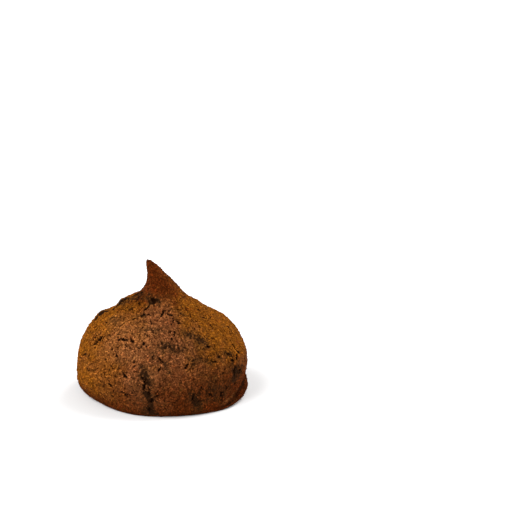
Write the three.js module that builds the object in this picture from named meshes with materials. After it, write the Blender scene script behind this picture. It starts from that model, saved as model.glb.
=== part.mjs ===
// A cocoa-dusted chocolate truffle: one piped and enrobed mound whose soft top was drawn out into a tail.
// It is one solid. Millimetres, +Z up: the flat base lies on z = 0, under the middle of the bounding box.
// Azimuths are in degrees, anticlockwise from +X seen from above. The front is -Y, and the tail leans to -X.
import * as THREE from "three";

// Half outline, from the base up to the tip: radius and height of each place that shapes it.
const FOOT = { radius: 16.15, height: 1.5 }; // the top of the round edge that stands on the table
const BASE_ROUND = 1.1; // how far the flat of the base stops short of the foot
const BELLY = { radius: 16.5, height: 5.4 }; // the widest part
const UPPER_BELLY = { radius: 15.75, height: 9.2 };
const SHOULDER = { radius: 13.5, height: 13.0 };
const BROW = { radius: 8.7, height: 16.4 }; // where the dome begins to turn up
const SADDLE = { radius: 4.75, height: 19.1 }; // where it has turned up into the tail
const TAIL = { radius: 1.88, height: 23.1 };
const UPPER_TAIL = { radius: 1.2, height: 24.8 };
const TIP = { radius: 0.45, height: 26.0 };
const TOP = 26.2;

const TAIL_LEAN = { azimuth: 184, travel: 2.35, start: 20.8, power: 1.5 };
const OVAL = { azimuth: 146, stretch: 0.75, fade: 9 }; // the base is longer along this azimuth

// The foot's lip pokes out under the coat from the front right round to the back. It begins at one azimuth,
// stands out fully at the next, and is as tall as it gets from the one after that.
const LIP = { from: -65, out: -40, tall: 5, last: 110, to: 150, height: 3.1, endHeight: 0.5, rise: 0.45 };
const LIP_CREASE = { depth: 0.75, width: 0.5 };

// Creases that the twist of the nozzle left where the dome meets the tail: each climbs round the axis,
// by its climb in degrees a millimetre.
const CREASES = [
  { azimuth: 186, climb: 8, low: 15.4, high: 19.6, width: 0.7, depth: 0.45 },
  { azimuth: 30, climb: -9, low: 14.6, high: 18.6, width: 1.3, depth: 0.2 },
];
const CREASE_END = 1; // height over which a crease dies away

// Knobs of coating that set on the shoulder and along the foot, and two shallow dents.
const KNOBS = [
  { azimuth: 152, height: 13.8, wide: 3.0, tall: 0.8, rise: 1.0 },
  { azimuth: 146, height: 17.3, wide: 2.6, tall: 1.35, rise: 1.35 },
  { azimuth: 62, height: 12.4, wide: 3.0, tall: 2.2, rise: 0.35 },
  { azimuth: 185, height: 10.6, wide: 7.0, tall: 2.2, rise: 0.25 },
  { azimuth: 185, height: 5.0, wide: 7.0, tall: 2.2, rise: -0.35 },
  { azimuth: 322, height: 0.6, wide: 6.5, tall: 1.6, rise: 0.5 },
  { azimuth: 252, height: 0.5, wide: 6.5, tall: 1.6, rise: 0.6 },
  { azimuth: 218, height: 0.6, wide: 6.0, tall: 2.4, rise: -0.5 },
];
// Broad swells of the piped mound: turns round the axis, turns per millimetre of height, phase and rise.
const SWELLS = [
  { round: 1, up: -0.09, phase: -16, rise: 0.27 },
  { round: 2, up: 0.05, phase: 70, rise: 0.14 },
  { round: 3, up: -0.04, phase: 10, rise: 0.16 },
  { round: 5, up: 0.07, phase: 215, rise: 0.1 },
  { round: 8, up: 0.03, phase: 120, rise: 0.05 },
];

const SEGMENTS = 88;
const BASE_RINGS = 3;
const FOOT_RINGS = 7;
const FLANK_RINGS = 40;
const RING_CROWDING = 1.25; // above 1, the flank's rings are closer together near the lip

const radians = THREE.MathUtils.degToRad;
const ramp = THREE.MathUtils.smoothstep;
const bell = (distance, width) => Math.exp(-((distance / width) ** 2));
const turnBetween = (a, b) => THREE.MathUtils.euclideanModulo(a - b + 180, 360) - 180;

// Points from the middle of the base, round the foot, up the flank and to the top of the tail.
function halfOutline() {
  const flat = FOOT.radius - BASE_ROUND;
  const foot = new THREE.EllipseCurve(flat, FOOT.height, BASE_ROUND, FOOT.height, -Math.PI / 2, 0);
  const places = [FOOT, BELLY, UPPER_BELLY, SHOULDER, BROW, SADDLE, TAIL, UPPER_TAIL, TIP];
  const flank = new THREE.CatmullRomCurve3(
    places.map((place) => new THREE.Vector3(place.radius, place.height, 0)),
    false,
    "centripetal",
  );
  const baseRings = Array.from({ length: BASE_RINGS }, (_, i) => ({ x: (flat * i) / BASE_RINGS, y: 0 }));
  const flankRings = Array.from({ length: FLANK_RINGS }, (_, i) =>
    flank.getPointAt(((i + 1) / FLANK_RINGS) ** RING_CROWDING),
  );
  return [...baseRings, ...foot.getSpacedPoints(FOOT_RINGS), ...flankRings, { x: 0, y: TOP }].map(
    (p) => new THREE.Vector2(p.x, p.y),
  );
}

function lipOffset(azimuth, height) {
  const turn = turnBetween(azimuth, 0);
  const ending = 1 - ramp(turn, LIP.last, LIP.to);
  const top = THREE.MathUtils.lerp(LIP.endHeight, LIP.height, ramp(turn, LIP.from, LIP.tall) * ending);
  const crease = LIP_CREASE.depth * bell(height - top, LIP_CREASE.width);
  return ramp(turn, LIP.from, LIP.out) * ending * (LIP.rise * bell(height - top / 2, top / 2) - crease);
}

function creaseOffset(azimuth, height, radius) {
  return CREASES.reduce((sum, crease) => {
    const middle = crease.azimuth + crease.climb * (height - crease.low);
    const across = radians(turnBetween(azimuth, middle)) * radius;
    const begun = ramp(height, crease.low - CREASE_END, crease.low + CREASE_END);
    const ended = ramp(height, crease.high - CREASE_END, crease.high + CREASE_END);
    return sum - crease.depth * begun * (1 - ended) * bell(across, crease.width);
  }, 0);
}

function knobOffset(azimuth, height, radius) {
  return KNOBS.reduce((sum, knob) => {
    const across = radians(turnBetween(azimuth, knob.azimuth)) * radius;
    return sum + knob.rise * bell(across, knob.wide) * bell(height - knob.height, knob.tall);
  }, 0);
}

function swellOffset(azimuth, height, radius) {
  const share = Math.min(1, radius / BELLY.radius);
  return SWELLS.reduce((sum, swell) => {
    const angle = swell.round * radians(azimuth - swell.phase) + swell.up * height * 2 * Math.PI;
    return sum + swell.rise * share * Math.sin(angle);
  }, 0);
}

function ovalOffset(azimuth, height) {
  return OVAL.stretch * bell(height, OVAL.fade) * Math.cos(2 * radians(azimuth - OVAL.azimuth));
}

// The point of the uneven truffle that stands for a point of the round one.
function uneven(point) {
  const radius = Math.hypot(point.x, point.y);
  const angle = Math.atan2(point.y, point.x);
  const azimuth = THREE.MathUtils.radToDeg(angle);
  const height = point.z;
  const offset =
    lipOffset(azimuth, height) +
    creaseOffset(azimuth, height, radius) +
    knobOffset(azimuth, height, radius) +
    swellOffset(azimuth, height, radius) +
    ovalOffset(azimuth, height);
  // The offset fades to nothing at the axis, so that the base and the tip stay closed.
  const moved = radius + offset * ramp(radius, 0, SADDLE.radius);
  const risen = Math.max(0, height - TAIL_LEAN.start) / (TOP - TAIL_LEAN.start);
  const away = TAIL_LEAN.travel * risen ** TAIL_LEAN.power;
  const leanAngle = radians(TAIL_LEAN.azimuth);
  return new THREE.Vector3(
    moved * Math.cos(angle) + away * Math.cos(leanAngle),
    moved * Math.sin(angle) + away * Math.sin(leanAngle),
    height,
  );
}

function truffleGeometry() {
  const geometry = new THREE.LatheGeometry(halfOutline(), SEGMENTS);
  geometry.rotateX(Math.PI / 2);
  const position = geometry.getAttribute("position");
  const point = new THREE.Vector3();
  for (let i = 0; i < position.count; i++) {
    point.fromBufferAttribute(position, i);
    position.setXYZ(i, ...uneven(point).toArray());
  }
  geometry.computeBoundingBox();
  const middle = geometry.boundingBox.getCenter(new THREE.Vector3());
  geometry.translate(-middle.x, -middle.y, 0);
  geometry.computeVertexNormals();
  return geometry;
}

const cocoa = new THREE.MeshStandardMaterial({ color: 0x7a4620, roughness: 0.95, metalness: 0 });
const truffle = new THREE.Mesh(truffleGeometry(), cocoa);
truffle.name = "truffle";

const part = new THREE.Group();
part.add(truffle);
export default part;
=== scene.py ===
"""The looks of a cocoa-dusted chocolate truffle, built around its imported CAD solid.

The scene is in metres, +Z up, with the truffle's front towards -Y. The skin and the clumps on it are worked
out in millimetres and scaled once, at the end. Azimuths are in degrees, anticlockwise from +X seen from
above, and heights are millimetres above the base.
"""

import itertools
import math
import random

import bmesh
import bpy
import numpy as np
from mathutils import Euler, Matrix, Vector
from mathutils.bvhtree import BVHTree


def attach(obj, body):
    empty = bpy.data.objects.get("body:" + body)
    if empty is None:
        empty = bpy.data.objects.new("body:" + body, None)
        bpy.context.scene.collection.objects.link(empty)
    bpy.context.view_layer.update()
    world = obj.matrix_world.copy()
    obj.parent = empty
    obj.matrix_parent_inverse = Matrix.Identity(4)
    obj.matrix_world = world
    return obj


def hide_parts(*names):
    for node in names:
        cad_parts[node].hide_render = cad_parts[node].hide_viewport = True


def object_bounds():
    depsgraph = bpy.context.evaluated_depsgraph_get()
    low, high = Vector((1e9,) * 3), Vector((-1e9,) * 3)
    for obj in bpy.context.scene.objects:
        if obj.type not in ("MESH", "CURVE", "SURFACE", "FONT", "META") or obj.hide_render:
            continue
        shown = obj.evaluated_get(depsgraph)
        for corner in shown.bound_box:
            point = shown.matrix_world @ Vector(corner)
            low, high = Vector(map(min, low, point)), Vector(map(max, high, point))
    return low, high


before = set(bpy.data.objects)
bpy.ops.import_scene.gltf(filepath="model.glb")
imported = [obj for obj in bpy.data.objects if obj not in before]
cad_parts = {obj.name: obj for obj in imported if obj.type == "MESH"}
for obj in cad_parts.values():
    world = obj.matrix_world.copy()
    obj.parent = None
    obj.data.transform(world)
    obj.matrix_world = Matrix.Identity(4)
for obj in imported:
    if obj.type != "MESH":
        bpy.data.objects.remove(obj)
cad_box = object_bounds()

MM = 0.001

# Skin mesh, in millimetres
WELD = 0.002
CAGE_ROUNDS = 3
VOXEL = 0.125
SKIN_TRIANGLES = 192_000
BASE_FLAT = 0.12  # below this height the skin is the flat underside
FULL_RELIEF = 0.8  # the relief comes in from the flat underside up to this height

# The tail leans to -X above its foot, by so much for each millimetre of height
TAIL_FOOT = 20
TAIL_LEAN = 0.3

# The foot's lip, at the azimuths and heights of the CAD solid's own. Going round, it starts, stands
# fully out, is fully tall, begins to fade and ends.
LIP = {"from": -65, "out": -40, "tall": 5, "last": 110, "to": 150, "height": 3.1, "end_height": 0.5}
# The coat's edge above the lip is raised a little and carries a painted highlight
COAT_EDGE_AND_HIGHLIGHT = (-50, -38)  # azimuths over which the pale edge of the coat above the lip comes in

# Small clumps of cocoa on the skin, in millimetres
CLUMPS = 24_000
CLUMP_SIZES = (0.05, 0.17)  # smallest and largest radius; most are small
CLUMP_FOOT = 0.5  # no clumps below this height

# Cracks and worn places scattered over the hidden sides, which are finished like the front
HIDDEN_SIDES = (5, 158)  # azimuths
HIDDEN_CRACKS = 30
HIDDEN_WORN = 26

# Short scratches scattered over the whole dome; those above STEEP run up towards the tail
SCRATCHES = 300
SCRATCH_HEIGHTS = (2.0, 18.5)
STEEP = 12

# How far a crack's marks and a worn place's reach from its path: in millimetres, and in half widths
CRACK_REACH = 3
WORN_REACH = 4

# Cracks in the coat: the places (azimuth, height) that each runs through, its width, depth and dark border
CRACKS = [
    # Dark edges of the flakes on the left shoulder
    ([(176, 13.6), (169, 14.0), (163, 14.4), (165, 15.0)], 1.15, 0.12, 0.7),
    ([(166, 15.0), (173, 15.7)], 0.35, 0.08, 0.4),
    ([(174, 16.0), (167, 16.4), (163, 17.1), (163, 17.9)], 1.05, 0.1, 0.7),
    ([(163, 18.0), (166, 18.8), (178, 19.4), (188, 19.9)], 0.5, 0.08, 0.6),
    # Streaks along the folds below them: grooves whose shade is painted dark along each fold
    ([(203, 17.2), (209, 17.9), (204, 18.8), (202, 20.0)], 0.3, 0.25, 0.5),
    ([(195, 16.3), (199, 16.9), (202, 17.4)], 0.34, 0.32, 0.5),
    ([(216, 17.3), (221, 17.9)], 0.4, 0.36, 0.5),
    ([(199, 14.5), (203, 15.1)], 0.24, 0.3, 0.25),
    ([(226, 15.2), (230, 15.7)], 0.24, 0.3, 0.25),
    ([(211, 15.9), (214, 16.4)], 0.2, 0.25, 0.2),
    # The dome's left
    ([(212, 11.6), (214, 12.4), (217, 13.4)], 0.46, 0.38, 0.6),
    ([(208, 12.2), (210, 13.2)], 0.26, 0.26, 0.3),
    ([(228, 10.1), (231, 9.3)], 0.24, 0.25, 0.3),
    ([(238, 11.3), (240, 10.5)], 0.24, 0.25, 0.3),
    ([(246, 8.2), (250, 7.3)], 0.26, 0.25, 0.35),
    ([(235, 5.7), (239, 5.3)], 0.24, 0.25, 0.35),
    ([(247, 4.2), (250, 3.8)], 0.24, 0.25, 0.3),
    # The middle of the front
    ([(232, 14.6), (234, 13.8)], 0.2, 0.18, 0.3),
    ([(235, 13.5), (239, 13.7), (243, 13.8)], 0.42, 0.36, 0.5),
    ([(245, 14.0), (248, 13.7), (250, 13.7)], 0.3, 0.26, 0.35),
    ([(258, 13.9), (259, 13.2)], 0.2, 0.2, 0.1),
    ([(257, 12.6), (253, 12.8)], 0.2, 0.2, 0.1),
    # Under the tail
    ([(244, 17.1), (246, 17.6)], 0.24, 0.3, 0.25),
    ([(250, 17.2), (258, 17.6)], 0.28, 0.25, 0.25),
    ([(247, 19.7), (254, 19.4), (261, 19.4)], 0.5, 0.25, 0.7),
    ([(277, 18.0), (275, 17.6), (273, 17.2)], 0.34, 0.38, 0.3),
    ([(286, 17.9), (289, 17.8)], 0.2, 0.26, 0.2),
    ([(283, 17.5), (290, 17.2)], 0.32, 0.36, 0.3),
    ([(292, 16.7), (297, 16.0)], 0.4, 0.36, 0.35),
    # The dome's right
    ([(311, 12.7), (313, 12.1)], 0.3, 0.28, 0.35),
    ([(336, 11.9), (336, 10.8), (338, 9.7)], 0.3, 0.32, 0.3),
    ([(336, 9.4), (332, 8.7)], 0.28, 0.28, 0.3),
    ([(325, 10.2), (327, 10.0)], 0.26, 0.22, 0.4),
    ([(326, 9.1), (329, 8.7)], 0.26, 0.25, 0.3),
    ([(317, 10.4), (318, 10.0)], 0.24, 0.22, 0.3),
    ([(327, 7.2), (328, 6.0)], 0.4, 0.3, 0.7),
    ([(334, 6.6), (335, 5.6)], 0.34, 0.25, 0.6),
    # Low on the front and at the right of the foot
    ([(263, 7.7), (262, 6.7), (262, 5.5)], 0.28, 0.32, 0.5),
    ([(265, 5.2), (266, 4.4)], 0.3, 0.28, 0.4),
    ([(267, 3.9), (266, 3.0)], 0.3, 0.26, 0.5),
    ([(264, 2.3), (265, 1.3)], 0.26, 0.24, 0.5),
    ([(293, 4.0), (294, 3.2)], 0.26, 0.22, 0.6),
    ([(304, 4.0), (307, 3.4)], 0.2, 0.15, 0.4),
    ([(320, 4.6), (318, 3.8)], 0.3, 0.28, 0.5),
    ([(314, 4.0), (315, 2.4), (316, 1.1)], 0.36, 0.3, 0.6),
]

# Places where the cocoa is thin and the dark coating shows: the places that each runs through, its half width
# and its strength
WORN = [
    # The left shoulder and the tail's foot
    ([(161, 16.6), (163, 17.8), (168, 18.8)], 0.75, 1.0),
    ([(173, 17.2), (187, 19.0), (203, 19.7)], 1.1, 0.8),
    ([(158, 14.3), (164, 14.5), (171, 14.1)], 0.8, 1.1),
    ([(165, 15.0), (173, 15.6)], 0.35, 0.8),
    ([(209, 17.7), (205, 18.8), (204, 20.0)], 0.5, 0.7),
    ([(236, 19.7), (252, 19.4), (266, 19.3)], 0.7, 0.95),
    ([(238, 17.1), (247, 17.2)], 0.4, 0.85),
    ([(305, 17.3), (309, 17.0)], 0.4, 0.75),
    ([(318, 14.9), (321, 14.6)], 0.35, 0.55),
    ([(272, 17.7), (288, 17.6)], 0.5, 0.5),
    ([(203, 15.6), (213, 15.9)], 0.8, 0.6),
    # The front
    ([(259, 15.4), (267, 15.3), (275, 15.3)], 0.5, 0.7),
    ([(273, 12.6), (279, 13.2), (285, 12.5)], 0.7, 0.85),
    ([(268, 12.0), (268, 11.3)], 0.45, 0.75),
    ([(275, 10.4), (276, 9.5)], 0.4, 0.7),
    ([(280, 12.1), (291, 12.4)], 0.5, 0.75),
    ([(301, 14.3), (306, 13.7), (311, 12.8)], 1.2, 0.8),
    ([(293, 10.8), (295, 10.0)], 0.45, 0.7),
    ([(240, 10.4), (243, 9.0)], 0.4, 0.6),
    ([(277, 9.5), (279, 8.5)], 0.35, 0.65),
    ([(299, 10.7), (308, 9.7)], 0.7, 0.8),
    ([(324, 10.3), (328, 9.9)], 0.5, 0.85),
    ([(317, 10.5), (318, 9.8)], 0.45, 0.75),
    ([(327, 9.2), (330, 8.7)], 0.35, 0.5),
    ([(305, 4.8), (319, 3.8)], 1.7, 0.65),
    ([(263, 8.5), (268, 5.0)], 1.1, 0.4),
    ([(270, 6.5), (290, 5.5)], 1.8, 0.22),
    # Low down
    ([(328, 7.1), (330, 6.1), (329, 5.4)], 1.0, 1.1),
    ([(335, 6.7), (335, 5.2)], 0.8, 1.0),
    ([(262, 8.6), (264, 7.2)], 1.0, 1.2),
    ([(262, 7.9), (262, 5.8)], 0.5, 0.85),
    ([(257, 7.5), (258, 2.5)], 1.1, 0.4),
    ([(264, 4.9), (266, 3.2), (265, 0.9)], 1.0, 1.05),
    ([(293, 4.2), (295, 3.3), (297, 2.3)], 0.9, 1.0),
    ([(297, 3.9), (304, 4.6)], 0.7, 0.7),
    ([(302, 2.8), (312, 2.6)], 0.8, 0.55),
    ([(304, 4.2), (310, 3.2)], 0.5, 0.7),
    ([(318, 2.9), (318, 1.8)], 0.6, 0.6),
    # Behind
    ([(120, 12.0)], 2.0, 0.5),
    ([(75, 6.0)], 2.2, 0.6),
    ([(160, 8.0)], 1.6, 0.5),
    ([(35, 14.0)], 1.8, 0.5),
    ([(95, 17.5)], 1.5, 0.6),
    ([(150, 14.2)], 1.4, 1.0),
    ([(144, 16.9)], 1.3, 1.0),
]


# Lights and camera
WORLD_LIGHT = 0.58
SOFTBOX_WIDTH = 60  # degrees
LENS = 110.0
SENSOR = 36.0
VIEW_PITCH = 15.65  # degrees below level; the truffle is seen from about 20 degrees above
VIEW_DISTANCE = 317.5 * MM  # along the view to the truffle's base
LEFT_OF_MIDDLE = 20.1 * MM  # how far the base's middle lies to the left of the picture's middle
BELOW_MIDDLE = 24.2 * MM


# --- Noise, worked out for whole arrays of points at once -----------------------------------------


def cell_number(cells, seed):
    """A repeatable random whole number for each cell of a grid."""
    x, y, z = (cells[..., axis].astype(np.uint32) for axis in range(3))
    mixed = x * np.uint32(0x8DA6B343) ^ y * np.uint32(0xD8163841) ^ z * np.uint32(0xCB1AB31F)
    mixed = mixed ^ np.uint32((seed * 0x9E3779B1) & 0xFFFFFFFF)
    for shift in (15, 13, 16):
        mixed = (mixed ^ (mixed >> np.uint32(shift))) * np.uint32(0x2C1B3C6D)
    return mixed ^ (mixed >> np.uint32(15))


def number_share(numbers, part):
    """One of three random shares from 0 to 1 held in a cell's number."""
    return ((numbers >> np.uint32(10 * part)) & np.uint32(1023)).astype(float) / 1023


def smooth_noise(points, seed):
    """Gradient noise, about -1 to 1, with one cell to a unit."""
    cells = np.floor(points).astype(np.int64)
    parts = points - cells
    ease = parts**3 * (parts * (parts * 6 - 15) + 10)
    total = np.zeros(len(points))
    for corner in itertools.product((0, 1), repeat=3):
        numbers = cell_number(cells + corner, seed)
        away = parts - corner
        slope = sum((number_share(numbers, axis) * 2 - 1) * away[:, axis] for axis in range(3))
        total += slope * np.prod(np.where(corner, ease, 1 - ease), axis=1)
    return total * 1.6


def rough_noise(points, seed, octaves=3):
    """Smooth noise with finer and fainter noise on it."""
    total = np.zeros(len(points))
    for octave in range(octaves):
        total += smooth_noise(points * 2.03**octave, seed + octave) / 2**octave
    return total


def dots(points, seed, share, smallest, largest):
    """Round hollows scattered one to a cell in a share of the cells: 1 in their middle and 0 outside."""
    cells = np.floor(points).astype(np.int64)
    deepest = np.zeros(len(points))
    for step in itertools.product((-1, 0, 1), repeat=3):
        cell = cells + step
        place = cell_number(cell, seed)
        kind = cell_number(cell, seed + 77)
        middle = cell + np.stack([number_share(place, axis) for axis in range(3)], axis=1)
        radius = smallest + (largest - smallest) * number_share(kind, 0) ** 2
        gap = np.linalg.norm(points - middle, axis=1) / radius
        there = number_share(kind, 1) < share
        deepest = np.maximum(deepest, np.where(there, np.clip(1 - gap * gap, 0, 1), 0))
    return deepest


def ramp(values, low, high):
    """0 below low, 1 above high, and a smooth rise between."""
    share = np.clip((values - low) / (high - low), 0, 1)
    return share * share * (3 - 2 * share)


def bell(distances, width):
    return np.exp(-((distances / width) ** 2))


# --- The skin's mesh ------------------------------------------------------------------------------


def evaluated(obj):
    """A new mesh of obj with its modifiers applied."""
    graph = bpy.context.evaluated_depsgraph_get()
    return bpy.data.meshes.new_from_object(obj.evaluated_get(graph))


def mesh_piece(name, mesh):
    obj = bpy.data.objects.new(name, mesh)
    bpy.context.scene.collection.objects.link(obj)
    return obj


def apply_modifier(mesh, kind, settings):
    """A new mesh made from mesh by one modifier; the old mesh is removed."""
    obj = mesh_piece("worked", mesh)
    modifier = obj.modifiers.new(kind, kind)
    for name, value in settings.items():
        setattr(modifier, name, value)
    result = evaluated(obj)
    bpy.data.objects.remove(obj)
    bpy.data.meshes.remove(mesh)
    return result


def mesh_points(mesh):
    flat = np.empty(len(mesh.vertices) * 3)
    mesh.vertices.foreach_get("co", flat)
    return flat.reshape(-1, 3)


def set_points(mesh, points):
    mesh.vertices.foreach_set("co", points.ravel())
    mesh.update()


def mesh_normals(mesh):
    flat = np.empty(len(mesh.vertices) * 3)
    mesh.vertex_normals.foreach_get("vector", flat)
    return flat.reshape(-1, 3)


def smooth_solid(node):
    """The CAD solid in millimetres, rounded between its corners, which stay where they are."""
    work = bmesh.new()
    work.from_mesh(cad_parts[node].data)
    bmesh.ops.scale(work, vec=Vector((1, 1, 1)) / MM, verts=work.verts)
    bmesh.ops.remove_doubles(work, verts=work.verts, dist=WELD)
    bmesh.ops.join_triangles(
        work, faces=work.faces, angle_face_threshold=math.radians(40), angle_shape_threshold=math.pi
    )
    mesh = bpy.data.meshes.new("smooth")
    work.to_mesh(mesh)
    work.free()
    corners = mesh_points(mesh)
    cage = corners.copy()
    for _ in range(CAGE_ROUNDS):
        rounded = apply_modifier(mesh.copy(), "SUBSURF", {"levels": 1, "render_levels": 1})
        # The rounding draws the corners in, so the cage is pushed out by as much
        cage += corners - mesh_points(rounded)[: len(corners)]
        bpy.data.meshes.remove(rounded)
        set_points(mesh, cage)
    return apply_modifier(mesh, "SUBSURF", {"levels": 2, "render_levels": 2})


def fine_skin(smooth, surface):
    """An evenly meshed copy of the smooth solid, with every vertex drawn onto it."""
    mesh = apply_modifier(smooth, "REMESH", {"mode": "VOXEL", "voxel_size": VOXEL})
    drawn = np.array([surface.find_nearest(point)[0] for point in map(Vector, mesh_points(mesh))])
    set_points(mesh, drawn)
    return mesh


# --- The skin's relief ----------------------------------------------------------------------------


def on_surface(surface, azimuth, height):
    """The point of the smooth surface at an azimuth and a height."""
    turn = math.radians(azimuth)
    outwards = Vector((math.cos(turn), math.sin(turn), 0))
    axis_point = Vector((0, 0, height))
    if height > TAIL_FOOT:
        axis_point.x = -TAIL_LEAN * (height - TAIL_FOOT)
    well_outside = 60
    return surface.ray_cast(axis_point + outwards * well_outside, -outwards)[0]


def path_distance(points, places):
    """Distance from each point to a path of straight stretches, and its share of the way along."""
    if len(places) == 1:
        return np.linalg.norm(points - np.array(places[0]), axis=1), np.zeros(len(points))
    nearest = np.full(len(points), np.inf)
    way = np.zeros(len(points))
    for number, (start, end) in enumerate(zip(places, places[1:])):
        start, along = np.array(start), np.array(end - start)
        share = np.clip((points - start) @ along / (along @ along), 0, 1)
        distance = np.linalg.norm(points - start - share[:, None] * along, axis=1)
        way = np.where(distance < nearest, (number + share) / (len(places) - 1), way)
        nearest = np.minimum(nearest, distance)
    return nearest, way


def meridian_points(points, along):
    """Points whose noise runs in streaks up the flanks, closing in on the tail."""
    turn = np.arctan2(points[:, 1], points[:, 0])
    radius = 16
    return np.stack([np.cos(turn) * radius, np.sin(turn) * radius, points[:, 2] * along], axis=1)


def billows(points, seed, octaves=2):
    """Rounded crumbs with narrow creases between them, from 0 in a crease to about 1."""
    total = np.zeros(len(points))
    for octave in range(octaves):
        total += np.abs(smooth_noise(points * 2.1**octave, seed + octave)) / 2**octave
    return total


def lip_places(points):
    """How far out the lip stands at each point's azimuth, from 0 to 1, and its crease's height there."""
    turn = np.degrees(np.arctan2(points[:, 1], points[:, 0]))
    ending = 1 - ramp(turn, LIP["last"], LIP["to"])
    raised = ramp(turn, LIP["from"], LIP["tall"]) * ending
    crease_height = LIP["end_height"] + (LIP["height"] - LIP["end_height"]) * raised
    return ramp(turn, LIP["from"], LIP["out"]) * ending, crease_height


def wander(surface, start, heading, bend, length):
    """Three places of a crack that sets off from start at an angle to the way uphill, and then bends."""
    places = [start]
    for turn in (heading, heading + bend):
        place, normal = surface.find_nearest(places[-1])[:2]
        uphill = (Vector((0, 0, 1)) - normal * normal.z).normalized()
        along = uphill * math.cos(turn) + normal.cross(uphill) * math.sin(turn)
        places.append(surface.find_nearest(place + along * length / 2)[0])
    return places


def drawn_mark(draw, places, widths, depths, borders):
    """A crack along places with its width, depth and border drawn from their ranges."""
    return places, draw.uniform(*widths), draw.uniform(*depths), draw.uniform(*borders)


def scratches(surface):
    """Short scratches over the whole dome; those high up run towards the tail."""
    draw = random.Random(37)
    found = []
    for _ in range(SCRATCHES):
        height = draw.uniform(*SCRATCH_HEIGHTS)
        start = on_surface(surface, draw.uniform(0, 360), height)
        spread = 1.6 if height < STEEP else 0.6
        heading, bend = draw.uniform(-spread, spread), draw.uniform(-0.4, 0.4)
        places = wander(surface, start, heading, bend, 0.35 + 1.4 * draw.random() ** 2)
        found.append(drawn_mark(draw, places, (0.12, 0.24), (0.1, 0.26), (0.1, 0.35)))
    return found


def all_cracks(surface):
    """Every crack and scratch, as its places on the surface, width, depth and border."""
    cracks = []
    for places, width, depth, border in CRACKS:
        cracks.append(([on_surface(surface, *place) for place in places], width, depth, border))
    draw = random.Random(5)
    for _ in range(HIDDEN_CRACKS):
        start = on_surface(surface, draw.uniform(*HIDDEN_SIDES), draw.uniform(3.5, 17.5))
        places = wander(surface, start, draw.uniform(0, 2 * math.pi), 0.7, draw.uniform(0.8, 3.2))
        cracks.append(drawn_mark(draw, places, (0.18, 0.36), (0.16, 0.38), (0.2, 0.6)))
    return cracks + scratches(surface)


def all_worn():
    """Every worn place, as its places of azimuth and height, half width and strength."""
    draw = random.Random(9)
    hidden = []
    for _ in range(HIDDEN_WORN):
        azimuth, height = draw.uniform(*HIDDEN_SIDES), draw.uniform(1.5, 18.5)
        end = (azimuth + draw.uniform(-7, 7), height + draw.uniform(-1, 1))
        hidden.append(([(azimuth, height), end], draw.uniform(0.35, 1.1), draw.uniform(0.4, 0.95)))
    return WORN + hidden


def near_path(points, places, reach):
    """The numbers of the points inside a path's box and within reach of it."""
    path = np.array(places)
    inside = (points > path.min(axis=0) - reach) & (points < path.max(axis=0) + reach)
    return np.flatnonzero(inside.all(axis=1))


def crack_marks(points, wobble, surface):
    """The depth of the cracks, how far each point is in one, and how frayed the cocoa is round them."""
    depth = np.zeros(len(points))
    core_and_crease_shade = np.zeros(len(points))
    frayed = np.zeros(len(points))
    uneven = 0.4 + 0.95 * ramp(rough_noise(points / 0.45, 151), -0.5, 0.6)
    for places, width, deepest, border in all_cracks(surface):
        near = near_path(points, places, CRACK_REACH)
        distance, way = path_distance((points + wobble)[near], places)
        width = width * uneven[near] * (0.35 + 0.65 * np.sin(math.pi * way) ** 0.6)
        groove = deepest * uneven[near] * (1 - ramp(distance, width * 0.3, width * 1.7))
        depth[near] = np.maximum(depth[near], groove)
        core_and_crease_shade[near] = np.maximum(core_and_crease_shade[near], 1 - ramp(distance, 0, width * 2.2))
        frayed[near] = np.maximum(frayed[near], 1 - ramp(distance, 0, (width + border) * 1.8))
    return depth, core_and_crease_shade, frayed


def worn_marks(points, surface):
    """How worn each point is, from 0 to about 1, in patches with uneven outlines."""
    stray = np.stack([rough_noise(points / 1.5, 320 + axis) for axis in range(3)], axis=1)
    worn = np.zeros(len(points))
    for places, reach, strength in all_worn():
        path = [on_surface(surface, *place) for place in places]
        near = near_path(points, path, reach * WORN_REACH)
        distance = path_distance((points + stray * (0.25 + 0.45 * reach))[near], path)[0]
        worn[near] = np.maximum(worn[near], strength * bell(distance, reach * 1.3))
    return worn


def coarse_texture(points, wobble):
    """The rise of streaks, scabs and crumbs, less creases and pits."""
    rough = 0.45 + 0.75 * ramp(rough_noise(points / 3.0, 27), -0.5, 0.5)
    radius = np.hypot(points[:, 0], points[:, 1])
    streaked = ramp(radius, 2.0, 7.0)
    drag = 0.07 * streaked * rough_noise(meridian_points(points + wobble, 0.22) / 1.3, 31)
    scabs = 0.10 * ramp(rough_noise((points + wobble) / 1.9, 41), 0.0, 0.16)
    small_scabs = 0.07 * ramp(rough_noise((points + wobble) / 0.8, 45), 0.0, 0.2)
    crumbs = 0.16 * billows((points + wobble) / 1.05, 51)

    creased = ramp(rough_noise(points / 1.1, 84), -0.1, 0.4)
    creases = creased * bell(smooth_noise((points * (1, 1, 0.7) + wobble) / 0.7, 85), 0.16)
    dashed = streaked * ramp(rough_noise(points / 0.8, 87), 0.0, 0.4) * ramp(points[:, 2], 9, 13)
    dashes = dashed * bell(smooth_noise(meridian_points(points + wobble, 0.3) / 0.75, 89), 0.14)
    patchy = ramp(rough_noise(points / 3.2, 91), -0.35, 0.45)
    pits = patchy * dots((points * (1, 1, 0.7) + wobble) / 1.05, 101, 0.4, 0.16, 0.42)
    raised = drag + rough * (scabs + small_scabs + crumbs)
    return raised - 0.17 * rough * creases - 0.2 * dashes - 0.24 * pits - 0.08


def fine_texture(points):
    """The rise of grains, less pricks."""
    return 0.09 * billows(points / 0.43, 71) - 0.12 * dots(points / 0.55, 131, 0.3, 0.2, 0.45) - 0.02


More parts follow.
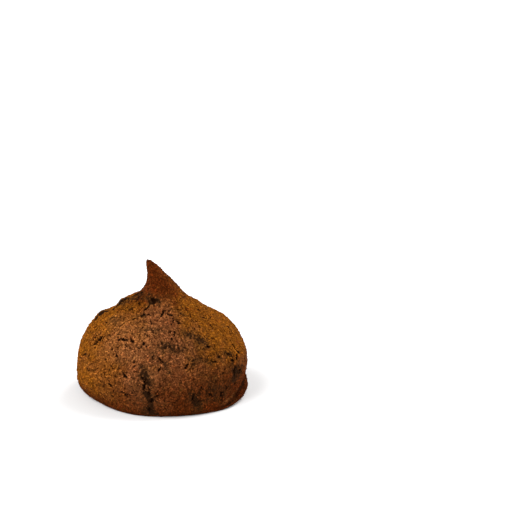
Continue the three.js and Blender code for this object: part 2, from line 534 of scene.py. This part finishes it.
def smoothness(points):
    """How much smoother the tail, the foot and the right flank are than the dome's front."""
    height = points[:, 2]
    turn = np.arctan2(points[:, 1], points[:, 0])
    tail = 0.85 * ramp(height, 18.0, 21.5)
    foot = 0.4 * (1 - ramp(height, 0.5, 3.2))
    right_flank = 0.4 * ramp(np.cos(turn - math.radians(352)), 0.6, 0.95)
    return np.maximum.reduce([tail, foot, right_flank])


def relief(points, surface):
    """The skin's rise above the smooth surface in millimetres, and its masks, by name."""
    height = points[:, 2]
    wobble = np.stack([rough_noise(points / 0.9, 300 + axis) for axis in range(3)], axis=1) * 0.22
    crack_depth, core_and_crease_shade, frayed = crack_marks(points, wobble, surface)
    worn = worn_marks(points, surface)
    lip_share, crease_height = lip_places(points)
    above_crease = height + 0.3 * wobble[:, 2] - crease_height
    lip_groove = lip_share * bell(above_crease + 0.35, 0.25)
    broken = 0.25 + 0.75 * ramp(rough_noise(points / 1.2, 161), -0.25, 0.35)
    turn = np.degrees(np.arctan2(points[:, 1], points[:, 0]))
    # The coat's edge: a small raised rim, with a painted highlight along it
    coat_edge_and_highlight = lip_share * ramp(turn, *COAT_EDGE_AND_HIGHLIGHT) * (0.7 + 0.3 * broken) * bell(above_crease - 0.05, 0.18)

    smooth = smoothness(points)
    lumps = 0.12 * rough_noise(points / 4.5, 11)
    rise = lumps * (1 - smooth) + coarse_texture(points, wobble) * (1 - smooth)
    rise = rise + fine_texture(points) * (1 - 0.2 * smooth) - crack_depth
    rise = rise - 0.06 * worn - 0.3 * lip_groove + 0.1 * coat_edge_and_highlight
    rise = rise * ramp(height, BASE_FLAT, FULL_RELIEF)
    # The lip's crease is painted dark as well, as the shade in the crease
    core_and_crease_shade = np.maximum(core_and_crease_shade, (0.4 + 0.3 * broken) * lip_share * bell(above_crease + 0.42, 0.2))
    return rise, {"crack": core_and_crease_shade, "frayed": frayed, "worn": worn, "coat_edge_and_highlight": coat_edge_and_highlight}


def cavities(mesh, rise, rounds=14):
    """How far each point lies below the mean rise around it, in millimetres."""
    ends = np.empty(len(mesh.edges) * 2, dtype=np.int64)
    mesh.edges.foreach_get("vertices", ends)
    first, second = ends.reshape(-1, 2).T
    neighbours = np.bincount(ends, minlength=len(rise))
    mean = rise
    for _ in range(rounds):
        total = np.bincount(first, mean[second], len(rise))
        total = total + np.bincount(second, mean[first], len(rise))
        mean = total / neighbours
    return mean - rise


def tints_sheen_and_shade(points):
    """Masks by name: warm flanks with painted sheen, rosy and pale tones, a darker tail, and painted shade
    low down and under the lip.
    """
    turn = np.arctan2(points[:, 1], points[:, 0])
    height = points[:, 2]
    drift = rough_noise(points / 5.5, 211)

    def facing(azimuth):
        return np.cos(turn - math.radians(azimuth))

    # The warm flanks are partly a painted sheen, where the light grazes the powder at the sides
    right_flank = facing(352) * ramp(height, 5, 11)
    ochre_and_sheen = ramp(np.maximum(facing(190), right_flank) + 0.3 * drift, 0.3, 0.9)
    rosy = ramp(facing(262) + 0.4 * rough_noise(points / 3.3, 231), 0.5, 1.0)
    rosy = rosy * (1 - ramp(height, 17, 20)) * (1 - 0.6 * ochre_and_sheen)
    mid_height = ramp(height, 9, 12) * (1 - ramp(height, 15, 18))
    pale = ramp(facing(240) + 0.3 * drift, 0.65, 1.05) * mid_height
    # Painted shade: the lower right, the lower front and the foot are darkened where the light falls off; the
    # tail is darker in tone
    low_right = ramp(facing(322), 0.2, 1.0) * (1 - ramp(height, 3.8, 11.5))
    low_front = 0.65 * ramp(facing(270), 0.75, 0.97) * (1 - ramp(height, 2.0, 8.0))
    tail = 0.9 * ramp(height + 1.4 * drift + rough_noise(points / 1.5, 251), 17.1, 21.1)
    foot = 0.95 * (1 - ramp(height, 0.4, 3.4))
    dark = np.maximum.reduce([low_right, low_front, tail, foot])
    dark = np.clip(dark + 0.25 * drift * (dark > 0), 0, 1)
    # Painted shade along the bottom, and on the lip below its crease, under the coat's overhang; mottled
    lip_share, crease_height = lip_places(points)
    lip = lip_share * (1 - ramp(height, crease_height - 0.35, crease_height - 0.05))
    low_shade = np.maximum(lip, 0.75 * (1 - ramp(height, 0.2, 3.4)))
    low_shade = low_shade * (1 - 0.45 * ramp(rough_noise(points / 1.6, 241), 0.0, 0.6))
    return {"ochre_and_sheen": ochre_and_sheen, "rosy": rosy, "pale": pale, "dark": dark, "low_shade": low_shade}


def streaks(points):
    """Thin dark streaks that run up the flanks to the tail, in patches."""
    patches = ramp(rough_noise(points / 2.6, 421), -0.4, 0.4)
    return patches * ramp(rough_noise(meridian_points(points, 0.22) / 0.6, 411), 0.1, 0.8)


def add_masks(mesh, masks):
    for name, values in masks.items():
        layer = mesh.attributes.new(name, "FLOAT", "POINT")
        layer.data.foreach_set("value", values.astype(np.float32))


def make_skin():
    """The truffle's skin, in metres."""
    smooth = smooth_solid("truffle")
    work = bmesh.new()
    work.from_mesh(smooth)
    surface = BVHTree.FromBMesh(work)
    work.free()
    mesh = fine_skin(smooth, surface)
    points, normals = mesh_points(mesh), mesh_normals(mesh)
    rise, masks = relief(points, surface)
    cavity = cavities(mesh, rise)
    # The relief's hollows get painted shade, along with the dark chocolate showing there
    masks["hollow_dark_and_shade"] = ramp(cavity, 0.0, 0.09)
    # The relief's crests get a painted highlight, along with paler powder there
    masks["crest_pale_and_highlight"] = ramp(-cavity, 0.0, 0.08)
    masks["streak"] = streaks(points)
    masks.update(tints_sheen_and_shade(points))
    shaped = points + normals * rise[:, None]
    under = points[:, 2] < BASE_FLAT
    shaped[under, 2] = np.minimum(shaped[under, 2], points[under, 2])
    shaped[:, 2] = np.maximum(shaped[:, 2], 0)
    set_points(mesh, shaped * MM)
    add_masks(mesh, masks)
    share = min(1, SKIN_TRIANGLES / (2 * len(mesh.polygons)))
    mesh = apply_modifier(mesh, "DECIMATE", {"decimate_type": "COLLAPSE", "ratio": share})
    mesh.shade_smooth()
    return mesh_piece("cocoa_skin", mesh)


def mask_values(mesh, name):
    values = np.empty(len(mesh.vertices), dtype=np.float32)
    mesh.attributes[name].data.foreach_get("value", values)
    return values


def make_clumps(skin):
    """Tiny clumps of cocoa, each an uneven eight-sided grain half sunk in the skin."""
    mesh = skin.data
    mesh.calc_loop_triangles()
    corners = np.empty(len(mesh.loop_triangles) * 3, dtype=np.int64)
    mesh.loop_triangles.foreach_get("vertices", corners)
    corners = corners.reshape(-1, 3)
    triangles = mesh_points(mesh)[corners] / MM
    across = np.cross(triangles[:, 1] - triangles[:, 0], triangles[:, 2] - triangles[:, 0])
    area = np.linalg.norm(across, axis=1)

    draw = np.random.default_rng(21)
    centres = triangles.mean(axis=1)
    patchy = 0.35 + ramp(rough_noise(centres / 2.5, 401), -0.4, 0.6)
    bare = np.clip(mask_values(mesh, "worn") + mask_values(mesh, "crack"), 0, 0.9)[corners].mean(axis=1)
    tail = 1 + 0.8 * ramp(centres[:, 2], 18.5, 21.5)
    weight = area * patchy * tail * (1 - bare) * (centres[:, 2] > CLUMP_FOOT)
    chosen = draw.choice(len(triangles), CLUMPS, p=weight / weight.sum())
    shares = draw.dirichlet((1, 1, 1), CLUMPS)
    middles = (triangles[chosen] * shares[:, :, None]).sum(axis=1)
    upwards = across[chosen] / area[chosen, None]

    smallest, largest = CLUMP_SIZES
    sizes = smallest + (largest - smallest) * draw.random(CLUMPS) ** 4
    sideways = np.cross(upwards, draw.normal(size=(CLUMPS, 3)))
    sideways /= np.linalg.norm(sideways, axis=1)[:, None]
    axes = [sideways, np.cross(upwards, sideways), upwards]
    points = np.empty((CLUMPS, 6, 3))
    for number, (axis, sign) in enumerate(itertools.product(range(3), (1, -1))):
        reach = sizes * draw.uniform(0.65, 1.35, CLUMPS) * sign
        points[:, number] = middles + axes[axis] * reach[:, None]
    points += upwards[:, None] * sizes[:, None, None] * 0.1

    # A face joins one end of each axis; every other one is turned round so that all face outwards
    ends = itertools.product((0, 1), (2, 3), (4, 5))
    faces = [(x, y, z) if (x + y + z) % 2 == 0 else (y, x, z) for x, y, z in ends]
    every = (np.array(faces)[None] + 6 * np.arange(CLUMPS)[:, None, None]).reshape(-1, 3)
    clumps = bpy.data.meshes.new("clumps")
    clumps.from_pydata((points.reshape(-1, 3) * MM).tolist(), [], every.tolist())
    names = ("ochre_and_sheen", "rosy", "pale", "dark", "low_shade", "worn")
    masks = {name: mask_values(mesh, name)[corners[chosen]].mean(axis=1).repeat(6) for name in names}
    masks["clump_tone"] = draw.random(CLUMPS).repeat(6)
    add_masks(clumps, masks)
    clumps.shade_smooth()
    return mesh_piece("cocoa_clumps", clumps)


# --- Materials ------------------------------------------------------------------------------------


def linear(red, green, blue):
    """A colour given from 0 to 255 as seen on a screen, as the renderer's own linear colour."""
    shares = [value / 255 for value in (red, green, blue)]
    return [s / 12.92 if s <= 0.04045 else ((s + 0.055) / 1.055) ** 2.4 for s in shares] + [1]


def shader_node(tree, kind, inputs, **settings):
    """Adds a shader node, with its settings, and its inputs as numbers, colours or links."""
    node = tree.nodes.new(kind)
    for name, value in settings.items():
        setattr(node, name, value)
    for key, value in inputs.items():
        if isinstance(value, bpy.types.NodeSocket):
            tree.links.new(value, node.inputs[key])
        else:
            node.inputs[key].default_value = value
    return node


def mix_colour(tree, share, first, second, blend="MIX"):
    inputs = {0: share, 6: first, 7: second}
    return shader_node(tree, "ShaderNodeMix", inputs, data_type="RGBA", blend_type=blend).outputs[2]


def range_of(tree, value, low, high, to_low=0.0, to_high=1.0):
    """Maps low..high of a value smoothly to to_low..to_high."""
    inputs = {"Value": value, "From Min": low, "From Max": high, "To Min": to_low, "To Max": to_high}
    return shader_node(tree, "ShaderNodeMapRange", inputs, interpolation_type="SMOOTHSTEP").outputs["Result"]


def calculated(tree, operation, *values):
    inputs = dict(enumerate(values))
    return shader_node(tree, "ShaderNodeMath", inputs, operation=operation).outputs[0]


def times(tree, first, second):
    return calculated(tree, "MULTIPLY", first, second)


def mask(tree, name):
    return shader_node(tree, "ShaderNodeAttribute", {}, attribute_name=name).outputs["Fac"]


def millimetres(tree):
    """The place on the object in millimetres, so that a noise's scale is its cells to a millimetre."""
    place = shader_node(tree, "ShaderNodeTexCoord", {}).outputs["Object"]
    return shader_node(tree, "ShaderNodeMapping", {"Vector": place, "Scale": [1 / MM] * 3}).outputs["Vector"]


def noise(tree, place, per_mm, detail=2.0, roughness=0.6, offset=0.0):
    inputs = {"Vector": place, "Scale": per_mm, "Detail": detail, "Roughness": roughness, "W": offset}
    return shader_node(tree, "ShaderNodeTexNoise", inputs, noise_dimensions="4D").outputs["Fac"]


def new_material(name):
    material = bpy.data.materials.new(name)
    material.use_nodes = True
    tree = material.node_tree
    tree.nodes.clear()
    surface = tree.nodes.new("ShaderNodeBsdfPrincipled")
    output = tree.nodes.new("ShaderNodeOutputMaterial")
    tree.links.new(surface.outputs["BSDF"], output.inputs["Surface"])
    return material, tree, surface


COCOA = linear(106, 62, 27)
# Warm cocoa of the flanks, partly a painted sheen
OCHRE_AND_SHEEN = linear(114, 65, 13)
ROSY = linear(108, 63, 34)
# Paler cocoa, and the painted highlight on the coat's edge above the lip
PALE_COCOA_AND_HIGHLIGHT = linear(128, 80, 43)
# The tail's darker cocoa, and the painted shade low on the right, the front and the foot
DARK_COCOA_AND_SHADE = linear(72, 30, 7)
# Painted shade along the bottom and under the coat's overhang above the lip
LOW_SHADE_COCOA = linear(52, 20, 4)
# Dark grains, and the painted shade in the relief's hollows
DEEP_GRAIN_AND_SHADE = linear(38, 13, 2)
THIN_COCOA = linear(56, 40, 20)
WORN_COCOA = linear(30, 17, 8)
# Dark chocolate, and the painted shade in the lip's crease and along folds
CHOCOLATE_AND_CREASE_SHADE = linear(20, 7, 2)
RUSSET = linear(112, 46, 15)
OLIVE = linear(82, 60, 20)


def ragged(tree, name, flecks, spread, low, high):
    """A mask whose soft edge is broken up by flecks into a crisp uneven one."""
    shift = calculated(tree, "MULTIPLY_ADD", flecks, spread, -spread / 2)
    return range_of(tree, calculated(tree, "ADD", mask(tree, name), shift), low, high)


def brightened(tree, share, colour):
    """The colour plus a share of itself, which keeps its hue."""
    return mix_colour(tree, share, colour, colour, "ADD")


def cocoa_tints_sheen_and_shade(tree):
    # Tints of the cocoa, with a painted sheen on the flanks and painted shade low down and under the lip
    colour = mix_colour(tree, mask(tree, "ochre_and_sheen"), COCOA, OCHRE_AND_SHEEN)
    colour = mix_colour(tree, mask(tree, "rosy"), colour, ROSY)
    colour = mix_colour(tree, times(tree, mask(tree, "pale"), 0.5), colour, PALE_COCOA_AND_HIGHLIGHT)
    colour = mix_colour(tree, mask(tree, "dark"), colour, DARK_COCOA_AND_SHADE)
    return mix_colour(tree, mask(tree, "low_shade"), colour, LOW_SHADE_COCOA)


def powder_look(surface):
    surface.inputs["Roughness"].default_value = 0.95
    surface.inputs["Specular IOR Level"].default_value = 0.03
    surface.inputs["Specular Tint"].default_value = linear(200, 150, 100)
    surface.inputs["Sheen Weight"].default_value = 0.03
    surface.inputs["Sheen Roughness"].default_value = 0.5
    surface.inputs["Sheen Tint"].default_value = linear(190, 110, 30)


def add_bump(tree, surface, height, strength, distance):
    """Roughens the surface with a height from 0 to 1, as if it stood out by a distance in millimetres."""
    inputs = {"Height": height, "Strength": strength, "Distance": distance * MM}
    bump = shader_node(tree, "ShaderNodeBump", inputs)
    tree.links.new(bump.outputs["Normal"], surface.inputs["Normal"])


def skin_material():
    material, tree, surface = new_material("cocoa_powder")
    place = millimetres(tree)
    fine = noise(tree, place, 4.5, 3.0, 0.7, offset=3.0)
    flecks = noise(tree, place, 2.2, 4.0, 0.7, offset=11.0)
    dust = noise(tree, place, 3.0, 3.0, 0.7, offset=17.0)

    hue = noise(tree, place, 0.9, 4.0, 0.7, offset=23.0)
    specks = noise(tree, place, 4.5, 1.0, 0.6, offset=29.0)
    patchy = range_of(tree, noise(tree, place, 0.3, 3.0, 0.6, offset=31.0), 0.42, 0.6, 0.6, 1.0)

    colour = cocoa_tints_sheen_and_shade(tree)
    colour = mix_colour(tree, range_of(tree, hue, 0.54, 0.68, 0.0, 0.4), colour, RUSSET)
    colour = mix_colour(tree, range_of(tree, hue, 0.46, 0.32, 0.0, 0.35), colour, OLIVE)
    red_grains = times(tree, mask(tree, "dark"), range_of(tree, fine, 0.5, 0.62, 0.0, 0.6))
    colour = mix_colour(tree, red_grains, colour, RUSSET)
    clouds = range_of(tree, noise(tree, place, 0.45, 6.0, 0.75), 0.42, 0.68, 0.0, 0.5)
    colour = mix_colour(tree, clouds, colour, DEEP_GRAIN_AND_SHADE)
    colour = mix_colour(tree, times(tree, mask(tree, "streak"), 0.4), colour, DEEP_GRAIN_AND_SHADE)
    # A painted highlight on the relief's crests, with paler powder there
    colour = brightened(tree, times(tree, ragged(tree, "crest_pale_and_highlight", fine, 1.8, 0.2, 1.0), 0.5), colour)
    colour = brightened(tree, range_of(tree, dust, 0.5, 0.64, 0.0, 0.9), colour)
    colour = mix_colour(tree, range_of(tree, dust, 0.5, 0.34, 0.0, 0.8), colour, DEEP_GRAIN_AND_SHADE)
    # Painted shade in the relief's hollows, with dark chocolate showing there
    hollow_dark_and_shade = times(tree, ragged(tree, "hollow_dark_and_shade", fine, 1.4, 0.15, 0.75), times(tree, patchy, 0.8))
    colour = mix_colour(tree, hollow_dark_and_shade, colour, DEEP_GRAIN_AND_SHADE)
    colour = mix_colour(tree, times(tree, mask(tree, "worn"), 0.6), colour, THIN_COCOA)
    bare = ragged(tree, "worn", flecks, 2.8, 0.55, 0.82)
    colour = mix_colour(tree, times(tree, bare, 0.9), colour, WORN_COCOA)
    frayed = ragged(tree, "frayed", flecks, 2.8, 0.8, 1.1)
    colour = mix_colour(tree, times(tree, frayed, 0.8), colour, CHOCOLATE_AND_CREASE_SHADE)
    colour = mix_colour(tree, range_of(tree, specks, 0.42, 0.33, 0.0, 0.6), colour, DEEP_GRAIN_AND_SHADE)
    colour = brightened(tree, range_of(tree, specks, 0.57, 0.66, 0.0, 1.0), colour)
    # Dark chocolate in the cracks, and painted shade in the lip's crease and along the folds
    core_and_crease_shade = ragged(tree, "crack", fine, 1.6, 0.45, 0.7)
    colour = mix_colour(tree, core_and_crease_shade, colour, CHOCOLATE_AND_CREASE_SHADE)
    # A painted highlight along the coat's edge above the lip
    colour = mix_colour(tree, times(tree, mask(tree, "coat_edge_and_highlight"), 0.9), colour, PALE_COCOA_AND_HIGHLIGHT)
    tree.links.new(colour, surface.inputs["Base Color"])
    powder_look(surface)
    tree.links.new(range_of(tree, core_and_crease_shade, 0.0, 1.0, 0.95, 0.8), surface.inputs["Roughness"])

    add_bump(tree, surface, noise(tree, place, 4.5, 4.0, 0.75), 1.0, 0.22)
    return material


def clump_material():
    material, tree, surface = new_material("cocoa_grains")
    tone = mask(tree, "clump_tone")
    colour = mix_colour(tree, times(tree, mask(tree, "worn"), 0.7), cocoa_tints_sheen_and_shade(tree), WORN_COCOA)
    colour = mix_colour(tree, range_of(tree, tone, 0.5, 0.0, 0.0, 0.75), colour, DEEP_GRAIN_AND_SHADE)
    colour = brightened(tree, range_of(tree, tone, 0.5, 0.9, 0.0, 0.9), colour)
    colour = brightened(tree, range_of(tree, tone, 0.85, 1.0, 0.0, 0.7), colour)
    tree.links.new(colour, surface.inputs["Base Color"])
    powder_look(surface)
    add_bump(tree, surface, noise(tree, millimetres(tree), 9.0, 3.0, 0.7), 0.8, 0.05)
    return material


# --- Stage, lights and camera ---------------------------------------------------------------------


def floor_material():
    material, tree, surface = new_material("pale_floor")
    surface.inputs["Base Color"].default_value = (0.74, 0.74, 0.74, 1)
    surface.inputs["Roughness"].default_value = 0.9
    surface.inputs["Specular IOR Level"].default_value = 0.1
    return material


def make_floor():
    reach = 4.0
    mesh = bpy.data.meshes.new("floor")
    low = cad_box[0][2]
    corners = [(-reach, -reach, low), (reach, -reach, low), (reach, reach, low), (-reach, reach, low)]
    mesh.from_pydata(corners, [], [(0, 1, 2, 3)])
    mesh.materials.append(floor_material())
    floor = mesh_piece("floor", mesh)


def far_softbox(name, direction, width, power):
    """A soft light from a direction, as wide as an angle in degrees, too far off to fade over the floor."""
    light = bpy.data.lights.new(name, "SUN")
    light.angle = math.radians(width)
    light.energy = power
    lamp = bpy.data.objects.new(name, light)
    lamp.rotation_euler = (-Vector(direction)).to_track_quat("-Z", "Y").to_euler()
    bpy.context.scene.collection.objects.link(lamp)


def make_lights():
    far_softbox("key", (-0.75, -0.36, 0.70), SOFTBOX_WIDTH, 3.9)
    far_softbox("right_rim", (0.72, 0.45, 0.68), SOFTBOX_WIDTH, 3.5)
    world = bpy.data.worlds.new("studio")
    world.use_nodes = True
    background = world.node_tree.nodes["Background"]
    background.inputs["Color"].default_value = (1, 1, 1, 1)
    background.inputs["Strength"].default_value = WORLD_LIGHT
    bpy.context.scene.world = world


def make_camera():
    camera = bpy.data.cameras.new("camera")
    camera.lens = LENS
    camera.sensor_width = SENSOR
    camera.clip_start = 0.01
    camera.clip_end = 20
    holder = bpy.data.objects.new("camera", camera)
    turn = Euler((math.radians(90 - VIEW_PITCH), 0, 0))
    holder.rotation_euler = turn
    holder.location = turn.to_matrix() @ Vector((LEFT_OF_MIDDLE, BELOW_MIDDLE, VIEW_DISTANCE))
    bpy.context.scene.collection.objects.link(holder)
    bpy.context.scene.camera = holder


def make_truffle():
    skin = make_skin()
    skin.data.materials.append(skin_material())
    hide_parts("truffle")
    clumps = make_clumps(skin)
    clumps.data.materials.append(clump_material())
    for piece in (skin, clumps):
        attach(piece, "root")


make_camera()
make_truffle()
make_floor()
make_lights()
bpy.context.scene.view_settings.view_transform = "Standard"
